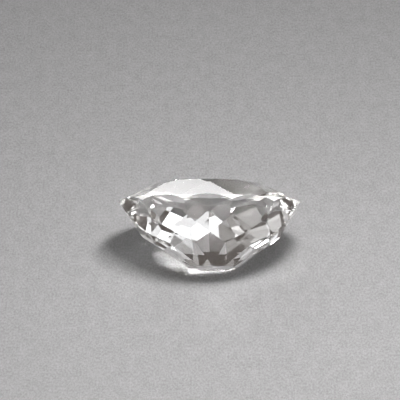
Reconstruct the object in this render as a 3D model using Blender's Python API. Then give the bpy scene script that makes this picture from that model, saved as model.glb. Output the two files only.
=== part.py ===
"""A loose oval-cut danburite, lying on one facet of its pavilion.

The stone is cut the way a lapidary cuts it: a blank is ground flat by flat, one plane for
each facet, row by row. The rows are worked out as those of a round stone as wide as the oval
is long. Each plane is then squeezed along Y to the oval, and the planes of the crown and the
pavilion are sheared a little, because the table and the culet of a hand-cut stone are never
quite in the middle. The facet that the stone lies on is ground a hair deeper than its sisters.

Units are metres, +Z is up. The stone's long axis is X, and its table looks up and towards +Y.
"""
import math
from collections import namedtuple

import bmesh
import bpy
from mathutils import Matrix, Vector

# The oval outline and the girdle, the thin wall between crown and pavilion. The thickness is
# below zero, so the facets above and below meet in the middle of each facet, and the wall is
# left only between them, in short arcs
LENGTH = 0.0130
WIDTH = 0.01117
GIRDLE_THICKNESS = -0.00008
OUTLINE_SIDES = 96

# The crown, above the girdle
CROWN_SECTORS = 8
CROWN_TURN = 0.5
CROWN_HEIGHT = 0.00135
TABLE_SHARE = 0.53
MAIN_ANGLE = math.radians(23.5)
STAR_ANGLE = math.radians(17.1)
HALF_ANGLE = math.radians(25.4)
TABLE_SHIFT = (-0.000045, -0.000086)

# The pavilion, below the girdle: rows of kites, each row half a step round from the last.
# The kites' side tips lie on rings under the girdle, at these depths
PAVILION_SECTORS = 12
FIRST_RING_SHARE = 0.882
RING_DEPTHS = (0.001515, 0.002574, 0.003229, 0.004714, 0.004750, 0.005007)
PAVILION_DEPTH = 0.00492
CULET_OFFSET = 0.00027
RESTING_ROW = 2
RESTING_CUT = 0.000154

# Points closer than this are one point where facets meet
MEET_DISTANCE = 0.000002

STONE_COLOUR = (0.95, 0.95, 0.93, 1.0)
STONE_IOR = 1.632
STONE_ROUGHNESS = 0.01

HALF_LENGTH = LENGTH / 2
SQUEEZE = WIDTH / LENGTH
UP = 1
DOWN = -1

# One row of facets: the side of the girdle, how many, their turn in steps, and the profile
# line that each one lies on, by its angle to the girdle and a point on it
Row = namedtuple("Row", "side sectors turn angle radius height")


def crown_rows():
    """The table's neighbours: kite-shaped mains, upper halves at the girdle, and stars."""
    steps = CROWN_SECTORS
    turn = CROWN_TURN
    table_radius = TABLE_SHARE * HALF_LENGTH
    return [
        Row(UP, steps, turn, MAIN_ANGLE, HALF_LENGTH, GIRDLE_THICKNESS),
        Row(UP, steps * 2, 2 * turn + 0.5, HALF_ANGLE, HALF_LENGTH, GIRDLE_THICKNESS),
        Row(UP, steps, turn + 0.5, STAR_ANGLE, table_radius, GIRDLE_THICKNESS + CROWN_HEIGHT),
    ]


def pavilion_rows():
    """Rows whose kites meet at points.

    Each kite runs from the ring above its side tips to the ring below them. On its middle
    line the side tips' ring is nearer the axis, by the cosine of half a step.
    """
    inset = math.cos(math.pi / PAVILION_SECTORS)
    rings = [(HALF_LENGTH, 0.0), (FIRST_RING_SHARE * HALF_LENGTH, -RING_DEPTHS[0])]
    rows = []
    for index in range(len(RING_DEPTHS)):
        top_radius, top_height = rings[index]
        side_radius, side_height = rings[index + 1]
        run = top_radius - inset * side_radius
        drop = top_height - side_height
        turn = 0.5 * (index % 2)
        rows.append(Row(DOWN, PAVILION_SECTORS, turn, math.atan2(drop, run), top_radius, top_height))
        if index + 1 < len(RING_DEPTHS):
            low_height = -RING_DEPTHS[index + 1]
            low_radius = top_radius - run * (top_height - low_height) / drop
            rings.append((low_radius, low_height))
    return rows


def crown_shape():
    """Squeeze to the oval, and shift the table over a fixed girdle."""
    shear = Matrix.Identity(3)
    shear[0][2] = TABLE_SHIFT[0] / CROWN_HEIGHT
    shear[1][2] = TABLE_SHIFT[1] / CROWN_HEIGHT
    return shear @ Matrix.Diagonal((1.0, SQUEEZE, 1.0))


def pavilion_shape():
    """Squeeze to the oval, and shift the culet sideways under a fixed girdle."""
    shear = Matrix.Identity(3)
    shear[0][2] = -CULET_OFFSET / PAVILION_DEPTH
    return shear @ Matrix.Diagonal((1.0, SQUEEZE, 1.0))


def facet_plane(row, index, shape):
    """A point and the outward direction of one facet, after the squeeze and the shear."""
    azimuth = (index + row.turn) * math.tau / row.sectors
    level = Vector((0.0, 0.0, GIRDLE_THICKNESS if row.side == UP else 0.0))
    point = Vector((row.radius * math.cos(azimuth), row.radius * math.sin(azimuth), row.height))
    spread = math.sin(row.angle)
    lift = row.side * math.cos(row.angle)
    normal = Vector((spread * math.cos(azimuth), spread * math.sin(azimuth), lift))
    place = level + shape @ (point - level)
    return place, (shape.inverted().transposed() @ normal).normalized()


def resting_plane():
    """The plane of the facet the stone lies on: the one at +Y in its row, ground deeper."""
    quarter = PAVILION_SECTORS // 4
    point, normal = facet_plane(pavilion_rows()[RESTING_ROW], quarter, pavilion_shape())
    return point - RESTING_CUT * normal, normal


def grind(stone, point, normal):
    """Cut away all that lies outside one plane, and close the cut with a flat face."""
    everything = stone.verts[:] + stone.edges[:] + stone.faces[:]
    cut = bmesh.ops.bisect_plane(
        stone, geom=everything, plane_co=point, plane_no=normal, clear_outer=True
    )
    rim = [item for item in cut["geom_cut"] if isinstance(item, bmesh.types.BMEdge)]
    if rim:
        bmesh.ops.contextual_create(stone, geom=rim)


def make_blank(stone):
    """An oval many-sided cylinder, taller than the stone above and below its girdle."""
    bmesh.ops.create_cone(
        stone,
        cap_ends=True,
        segments=OUTLINE_SIDES,
        radius1=HALF_LENGTH,
        radius2=HALF_LENGTH,
        depth=LENGTH,
    )
    bmesh.ops.scale(stone, vec=(1.0, SQUEEZE, 1.0), verts=stone.verts[:])


def cut_stone():
    """Grind the table, the culet, every row and the resting facet, and return the mesh."""
    stone = bmesh.new()
    make_blank(stone)
    table_height = GIRDLE_THICKNESS + CROWN_HEIGHT
    grind(stone, Vector((0.0, 0.0, table_height)), Vector((0.0, 0.0, 1.0)))
    grind(stone, Vector((0.0, 0.0, -PAVILION_DEPTH)), Vector((0.0, 0.0, -1.0)))
    for rows, shape in ((crown_rows(), crown_shape()), (pavilion_rows(), pavilion_shape())):
        for row in rows:
            for index in range(row.sectors):
                grind(stone, *facet_plane(row, index, shape))
    grind(stone, *resting_plane())
    bmesh.ops.remove_doubles(stone, verts=stone.verts[:], dist=MEET_DISTANCE)
    bmesh.ops.dissolve_degenerate(stone, edges=stone.edges[:], dist=MEET_DISTANCE)
    bmesh.ops.recalc_face_normals(stone, faces=stone.faces[:])
    mesh = bpy.data.meshes.new("danburite")
    stone.to_mesh(mesh)
    stone.free()
    return mesh


def resting_turn():
    """The turn that lays the resting facet on the ground."""
    _, normal = resting_plane()
    return normal.rotation_difference(Vector((0.0, 0.0, -1.0)))


def stone_material():
    """A clear, polished, colourless crystal."""
    material = bpy.data.materials.new("polished danburite")
    material.use_nodes = True
    shader = material.node_tree.nodes["Principled BSDF"]
    shader.inputs["Base Color"].default_value = STONE_COLOUR
    shader.inputs["Roughness"].default_value = STONE_ROUGHNESS
    shader.inputs["Metallic"].default_value = 0.0
    shader.inputs["IOR"].default_value = STONE_IOR
    shader.inputs["Transmission Weight"].default_value = 1.0
    return material


def clear_scene():
    """Remove whatever the open file holds."""
    for item in list(bpy.context.scene.objects):
        bpy.data.objects.remove(item, do_unlink=True)


def lay_down(stone):
    """Turn the stone onto its resting facet, over the origin and on the ground plane."""
    turn = resting_turn()
    corners = [turn @ vertex.co for vertex in stone.data.vertices]
    middle_x = (min(c.x for c in corners) + max(c.x for c in corners)) / 2
    middle_y = (min(c.y for c in corners) + max(c.y for c in corners)) / 2
    lowest = min(c.z for c in corners)
    stone.rotation_euler = turn.to_euler()
    stone.location = (-middle_x, -middle_y, -lowest)


def main():
    """Cut the stone, give it its material, and lay it down."""
    clear_scene()
    shelf = bpy.data.collections.new("faceted danburite")
    bpy.context.scene.collection.children.link(shelf)
    stone = bpy.data.objects.new("danburite", cut_stone())
    stone.data.materials.append(stone_material())
    shelf.objects.link(stone)
    lay_down(stone)


main()
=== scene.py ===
# %% [markdown]
# # A faceted danburite, photographed on a pale floor
#
# Danburite is a clear, colourless crystal. A cut one has no colour of its own to show: what
# you see is the room, bent and mirrored by its facets. So this lesson spends its care on four
# things: the exact facets, the way light passes through the crystal, the soft boxes of light
# round it, and a long lens.
#
# The measured model comes first. Its one solid, `danburite`, gives every facet its place.

# %% Load the measured model
import math
from collections import namedtuple

import bpy
from mathutils import Matrix, Vector


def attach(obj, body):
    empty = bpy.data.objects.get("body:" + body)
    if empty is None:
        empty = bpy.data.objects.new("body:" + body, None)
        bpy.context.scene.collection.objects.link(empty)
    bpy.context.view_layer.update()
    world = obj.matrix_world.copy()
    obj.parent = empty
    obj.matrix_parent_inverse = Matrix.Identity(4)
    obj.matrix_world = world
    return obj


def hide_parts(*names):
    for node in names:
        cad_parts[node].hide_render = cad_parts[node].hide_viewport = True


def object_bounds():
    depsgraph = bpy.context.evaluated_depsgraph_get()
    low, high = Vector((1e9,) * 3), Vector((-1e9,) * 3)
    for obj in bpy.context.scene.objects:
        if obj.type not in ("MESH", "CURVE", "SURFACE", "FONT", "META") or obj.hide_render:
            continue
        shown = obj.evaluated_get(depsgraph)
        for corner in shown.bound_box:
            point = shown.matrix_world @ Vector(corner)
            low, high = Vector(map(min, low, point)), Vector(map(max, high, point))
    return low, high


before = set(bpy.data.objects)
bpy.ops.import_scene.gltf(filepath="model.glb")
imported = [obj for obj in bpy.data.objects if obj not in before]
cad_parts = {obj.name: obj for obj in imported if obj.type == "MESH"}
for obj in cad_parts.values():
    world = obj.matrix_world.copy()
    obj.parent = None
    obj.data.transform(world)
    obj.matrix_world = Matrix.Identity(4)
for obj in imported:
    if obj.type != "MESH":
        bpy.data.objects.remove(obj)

MM_PER_METRE = 1000
MICRONS_PER_METRE = 1000000


def box_in_mm(low, high):
    """The sides of a box in millimetres, to print."""
    return [round(MM_PER_METRE * side, 2) for side in high - low]


cad_low, cad_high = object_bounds()
cad_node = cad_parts["danburite"]
print("the measured stone is", box_in_mm(cad_low, cad_high), "mm")

# %% [markdown]
# ## Light paths
#
# A ray that enters a cut stone is mirrored many times inside before it leaves. Blender's usual
# limits stop it after a few mirrorings and return black, which leaves dead patches in the
# stone. So the limits are raised. Light that passes through the stone gathers on the floor in
# a bright crescent. Blender blurs and dims such light by default, so the blur is turned off and
# the cap on bright paths is raised. The plain Standard view keeps a white soft box white.

# %% Let light travel far inside the stone
INNER_BOUNCES = 32
CAUSTIC_CLAMP = 40.0
CAUSTIC_BLUR = 0.0

scene = bpy.context.scene
scene.cycles.max_bounces = INNER_BOUNCES
scene.cycles.glossy_bounces = INNER_BOUNCES
scene.cycles.transmission_bounces = INNER_BOUNCES
scene.cycles.transparent_max_bounces = INNER_BOUNCES
scene.cycles.sample_clamp_indirect = CAUSTIC_CLAMP
scene.cycles.blur_glossy = CAUSTIC_BLUR
scene.view_settings.view_transform = "Standard"
print("a ray may turn", scene.cycles.max_bounces, "times")

# %% [markdown]
# ## The camera
#
# The stone leans back on its pavilion, and the camera looks down at it from the front, past
# the raised edge of the girdle. A close photograph of a gem is taken with a long lens from
# some way off, so parallel edges stay parallel. The aim is worked out from where the middle of
# the girdle has to fall in the picture.

# %% Set up a long lens
PICTURE_SIDE = 400
STONE_LENGTH = cad_high.x - cad_low.x
STONE_LENGTH_PIXELS = 183.0
GIRDLE_MIDDLE = Vector((0.0, 0.00027, 0.00448))
GIRDLE_MIDDLE_PIXEL = (209.2, 201.2)
CAMERA_ELEVATION = math.radians(33.1)
CAMERA_AZIMUTH = math.radians(1.5)
CAMERA_ROLL = math.radians(-0.6)
LENS = 400.0
SENSOR = 36.0
CLIP_FACTOR = 10

pixel = STONE_LENGTH / STONE_LENGTH_PIXELS
distance = PICTURE_SIDE * pixel * LENS / SENSOR
backwards = Vector((
    math.sin(CAMERA_AZIMUTH) * math.cos(CAMERA_ELEVATION),
    -math.cos(CAMERA_AZIMUTH) * math.cos(CAMERA_ELEVATION),
    math.sin(CAMERA_ELEVATION),
))
turn = backwards.to_track_quat("Z", "Y").to_matrix() @ Matrix.Rotation(CAMERA_ROLL, 3, "Z")
middle = PICTURE_SIDE / 2
pixels_right = middle - GIRDLE_MIDDLE_PIXEL[0]
pixels_up = GIRDLE_MIDDLE_PIXEL[1] - middle
aim = GIRDLE_MIDDLE + pixel * (pixels_right * turn.col[0] + pixels_up * turn.col[1])

camera_data = bpy.data.cameras.new("gem camera")
camera_data.lens = LENS
camera_data.sensor_width = SENSOR
camera_data.clip_start = distance / CLIP_FACTOR
camera_data.clip_end = distance * CLIP_FACTOR
camera = bpy.data.objects.new("gem camera", camera_data)
scene.collection.objects.link(camera)
camera.matrix_world = Matrix.Translation(aim + distance * backwards) @ turn.to_4x4()
scene.camera = camera
print("the camera stands", round(MM_PER_METRE * distance), "mm away")
print("a pixel is", round(MICRONS_PER_METRE * pixel), "microns wide")

# %% [markdown]
# ## Shader sums
#
# Materials here are worked out by nodes. Sums written as Python are easier to read than chains
# of nodes, so one small class wraps a socket and turns + and * into Math nodes. Every other
# node comes from one method, which takes the node's type, its settings and what goes into it.

# %% Write shader sums as Python
MIX_FIRST_COLOUR = 6
MIX_SECOND_COLOUR = 7
MIX_COLOUR_RESULT = 2


class Wire:
    """An output socket that can be added and multiplied."""

    def __init__(self, graph, socket):
        self.graph = graph
        self.socket = socket

    def sum(self, operation, first, second):
        return self.graph.add("ShaderNodeMath", {"operation": operation}, {0: first, 1: second})

    def __add__(self, other):
        return self.sum("ADD", self, other)

    def __radd__(self, other):
        return self.sum("ADD", other, self)

    def __rmul__(self, other):
        return self.sum("MULTIPLY", other, self)


class Graph:
    """The nodes of one material."""

    def __init__(self, name):
        self.material = bpy.data.materials.new(name)
        self.material.use_nodes = True
        self.tree = self.material.node_tree
        self.shader = self.tree.nodes["Principled BSDF"]
        self.output = self.tree.nodes["Material Output"]

    def add(self, kind, settings=None, values=None, out=0):
        node = self.tree.nodes.new(kind)
        for name, value in (settings or {}).items():
            setattr(node, name, value)
        self.fill(node, values or {})
        return Wire(self, node.outputs[out])

    def fill(self, node, values):
        for name, value in values.items():
            if isinstance(value, Wire):
                self.tree.links.new(value.socket, node.inputs[name])
            else:
                node.inputs[name].default_value = value

    def place(self):
        return self.add("ShaderNodeTexCoord", out="Object")

    def noise(self, scale, detail=2.0, roughness=0.5, stretch=(1.0, 1.0, 1.0)):
        place = self.add("ShaderNodeMapping", values={"Vector": self.place(), "Scale": stretch})
        values = {"Vector": place, "Scale": scale, "Detail": detail, "Roughness": roughness}
        return self.add("ShaderNodeTexNoise", values=values)

    def blend(self, factor, first, second):
        settings = {"data_type": "RGBA"}
        values = {"Factor": factor, MIX_FIRST_COLOUR: first, MIX_SECOND_COLOUR: second}
        return self.add("ShaderNodeMix", settings, values, out=MIX_COLOUR_RESULT)


print("shader sums are ready")

# %% [markdown]
# ## The floor
#
# A photographer lays a gem on a sheet of fine matt card. Close up, card isn't smooth: it has a
# grain of about a tenth of a millimetre, nearly twice as long from front to back, the way its
# fibres lie. A fine noise sets both the shade and the bump, and a wider one clouds the shade.
# The sheet lies a hair under the stone, so a film of air is left between them, as under a real
# stone.

# %% Lay the floor
FLOOR_SIDE = 1.2
AIR_GAP = 0.00001
GRAIN_SCALE = 7500.0
GRAIN_DETAIL = 3.0
GRAIN_ROUGHNESS = 0.7
GRAIN_STRETCH = (1.0, 0.55, 1.0)
GRAIN_SHARE = 0.8
GRAIN_BUMP = {"Strength": 0.35, "Distance": 0.00003}
MOTTLE_SCALE = 1300.0
MOTTLE_SHARE = 0.2
CARD_DARK = (0.05, 0.05, 0.05, 1.0)
CARD_LIGHT = (0.38, 0.38, 0.38, 1.0)
CARD_SMOOTHEST = 0.75
CARD_ROUGHER = 0.2


def card_material():
    """Matt card whose grain and wider clouds set its shade, and whose grain is raised."""
    card = Graph("matt card")
    grain = card.noise(GRAIN_SCALE, GRAIN_DETAIL, GRAIN_ROUGHNESS, GRAIN_STRETCH)
    mottle = card.noise(MOTTLE_SCALE, stretch=GRAIN_STRETCH)
    shade = GRAIN_SHARE * grain + MOTTLE_SHARE * mottle
    card.fill(card.shader, {
        "Base Color": card.blend(shade, CARD_DARK, CARD_LIGHT),
        "Roughness": CARD_SMOOTHEST + CARD_ROUGHER * mottle,
        "Normal": card.add("ShaderNodeBump", values={**GRAIN_BUMP, "Height": grain}),
    })
    return card.material


bpy.ops.object.select_all(action="DESELECT")
bpy.ops.mesh.primitive_plane_add(size=FLOOR_SIDE, location=(0.0, 0.0, -AIR_GAP))
floor = bpy.context.active_object
floor.name = "floor"
floor.data.materials.append(card_material())
print("the floor is", FLOOR_SIDE, "m wide")

# %% [markdown]
# ## Soft light
#
# Gems are lit by soft boxes: each facet mirrors a piece of one, or of the dim room between
# them. The key hangs close above the stone, a little to the front and right, where hardly any
# facet mirrors it towards the camera. It draws the short shadow and the crescent of gathered
# light, and because it is close, the floor is brighter at the front than at the back.
#
# The other boxes are there for the facets. Those high in front whiten the middle of the
# pavilion, and the low one in front catches the tips. Two small ones low behind the stone whiten
# the left half of the crown and leave the right half grey. Wide, weak ones fill the rest.

# %% Hang the soft boxes
ROOM_GREY = (0.082, 0.068, 0.060, 1.0)
STAND_OFF = 0.45
KEY_DISTANCE = 0.072
WHITE = (1.0, 1.0, 1.0)
COOL = (0.95, 0.972, 1.0)
KEY_TINT = (1.0, 0.985, 0.995)
FULL_WATTS = 4


def softbox(name, azimuth, elevation, width, height, brightness, tint=WHITE, away=STAND_OFF):
    """A rectangular light that faces the stone.

    Azimuth 0 is behind the stone and 90 is to its right. The width and the height are the
    angles that the light spans, seen from the stone. All four angles are in degrees. At a
    brightness of 1, which takes FULL_WATTS for each square metre, it shows as plain white.
    """
    turn_round = math.radians(azimuth)
    rise = math.radians(elevation)
    direction = Vector((
        math.sin(turn_round) * math.cos(rise),
        math.cos(turn_round) * math.cos(rise),
        math.sin(rise),
    ))
    lamp = bpy.data.lights.new(name, "AREA")
    lamp.shape = "RECTANGLE"
    lamp.size = 2 * away * math.tan(math.radians(width) / 2)
    lamp.size_y = 2 * away * math.tan(math.radians(height) / 2)
    lamp.energy = brightness * FULL_WATTS * lamp.size * lamp.size_y
    lamp.color = tint
    box = bpy.data.objects.new(name, lamp)
    scene.collection.objects.link(box)
    box.location = away * direction
    box.rotation_mode = "QUATERNION"
    box.rotation_quaternion = direction.to_track_quat("Z", "Y")
    box.visible_camera = False
    sides = round(MM_PER_METRE * lamp.size), round(MM_PER_METRE * lamp.size_y)
    print(name, "is", sides[0], "by", sides[1], "mm")


softbox(
    "overhead_key", azimuth=143, elevation=73, width=18, height=13, brightness=57.0,
    tint=KEY_TINT, away=KEY_DISTANCE,
)
softbox("front_right", azimuth=150, elevation=48, width=30, height=16, brightness=1.06, tint=COOL)
softbox("front_top", azimuth=180, elevation=55, width=30, height=14, brightness=0.82, tint=COOL)
softbox("front_left", azimuth=210, elevation=61, width=36, height=19, brightness=0.5)
softbox("front_low", azimuth=188, elevation=20, width=60, height=13, brightness=2.0)
softbox("back_left", azimuth=315, elevation=44, width=85, height=33, brightness=0.75, tint=COOL)
softbox("back_low", azimuth=354, elevation=18, width=24, height=9, brightness=3.0)
softbox("back_floor", azimuth=349, elevation=4, width=13, height=7, brightness=2.2)
softbox("back_right", azimuth=45, elevation=44, width=60, height=33, brightness=0.2)
softbox("right_low", azimuth=108, elevation=18, width=55, height=36, brightness=0.8)

world = bpy.data.worlds.new("room")
world.use_nodes = True
world.node_tree.nodes["Background"].inputs["Color"].default_value = ROOM_GREY
scene.world = world

# %% [markdown]
# ## The cut stone
#
# The measured solid is stored as loose triangles. A copy of it is merged, and triangles that
# lie in one plane become one facet again, as the lapidary ground them. The table is the
# largest facet, and it tells which way the stone points: the girdle's narrow walls are the
# facets that stand square to it.

# %% Join the triangles into facets
MERGE_DISTANCE = 0.000001
FLAT_ANGLE = math.radians(0.1)
GIRDLE_LEAN = math.sin(math.radians(4.0))

stone = bpy.data.objects.new("cut_stone", cad_node.data.copy())
scene.collection.objects.link(stone)
stone.data.materials.clear()
bpy.ops.object.select_all(action="DESELECT")
stone.select_set(True)
bpy.context.view_layer.objects.active = stone
bpy.ops.object.mode_set(mode="EDIT")
bpy.ops.mesh.select_all(action="SELECT")
bpy.ops.mesh.remove_doubles(threshold=MERGE_DISTANCE)
bpy.ops.mesh.dissolve_limited(angle_limit=FLAT_ANGLE)
bpy.ops.object.mode_set(mode="OBJECT")
bpy.ops.object.shade_flat()
table = max(stone.data.polygons, key=lambda facet: facet.area)
table_normal = table.normal.copy()
facets = stone.data.polygons
girdle_walls = [facet for facet in facets if abs(facet.normal.dot(table_normal)) < GIRDLE_LEAN]
print(len(facets), "facets, of which", len(girdle_walls), "are girdle walls")

# %% [markdown]
# ## Polished and ground crystal
#
# Clear crystal needs three plain values. Transmission of 1 lets all light in, the index 1.632
# is danburite's own, and a weak absorption gives thick places a breath of warmth. The polish is
# almost perfect: a cloudy pattern of faint wheel marks moves the roughness a little. The girdle
# is only ground, not polished. It scatters light and lets less of it through, so it reads as a
# pale line.

# %% Make the two finishes
DANBURITE_INDEX = 1.632
CLEAR = (1.0, 1.0, 1.0, 1.0)
FAINT_WARMTH = (0.975, 0.972, 0.965, 1.0)
ABSORBED = (0.97, 0.968, 0.96, 1.0)
ABSORPTION_PER_METRE = 60.0
SMUDGE_SCALE = 900.0
MARK_SCALE = 14000.0
MARK_DETAIL = 3.0
MARK_DEPTH = 0.000004

# The roughness is the smoothest value plus rougher times the pattern, which runs from 0 to 1
Finish = namedtuple("Finish", "name pattern smoothest rougher bump transmission")
POLISHED = Finish(
    name="polished danburite", pattern="clouds", smoothest=0.004, rougher=0.01,
    bump=0.01, transmission=1.0,
)
GROUND = Finish(
    name="ground girdle", pattern="marks", smoothest=0.35, rougher=0.25,
    bump=0.5, transmission=0.3,
)
FINISHES = (POLISHED, GROUND)


def crystal(finish):
    """Clear danburite with one finish."""
    graph = Graph(finish.name)
    clouds = graph.noise(SMUDGE_SCALE)
    marks = graph.noise(MARK_SCALE, MARK_DETAIL)
    pattern = {"clouds": clouds, "marks": marks}[finish.pattern]
    bump = {"Strength": finish.bump, "Distance": MARK_DEPTH, "Height": marks}
    graph.fill(graph.shader, {
        "Base Color": graph.blend(clouds, CLEAR, FAINT_WARMTH),
        "Roughness": finish.smoothest + finish.rougher * pattern,
        "IOR": DANBURITE_INDEX,
        "Transmission Weight": finish.transmission,
        "Normal": graph.add("ShaderNodeBump", values=bump),
    })
    depth = {"Color": ABSORBED, "Density": ABSORPTION_PER_METRE}
    absorption = graph.add("ShaderNodeVolumeAbsorption", values=depth)
    graph.tree.links.new(absorption.socket, graph.output.inputs["Volume"])
    return graph.material


for finish in FINISHES:
    stone.data.materials.append(crystal(finish))
for wall in girdle_walls:
    wall.material_index = FINISHES.index(GROUND)
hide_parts("danburite")
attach(stone, "root")
print("finishes:", [material.name for material in stone.data.materials])
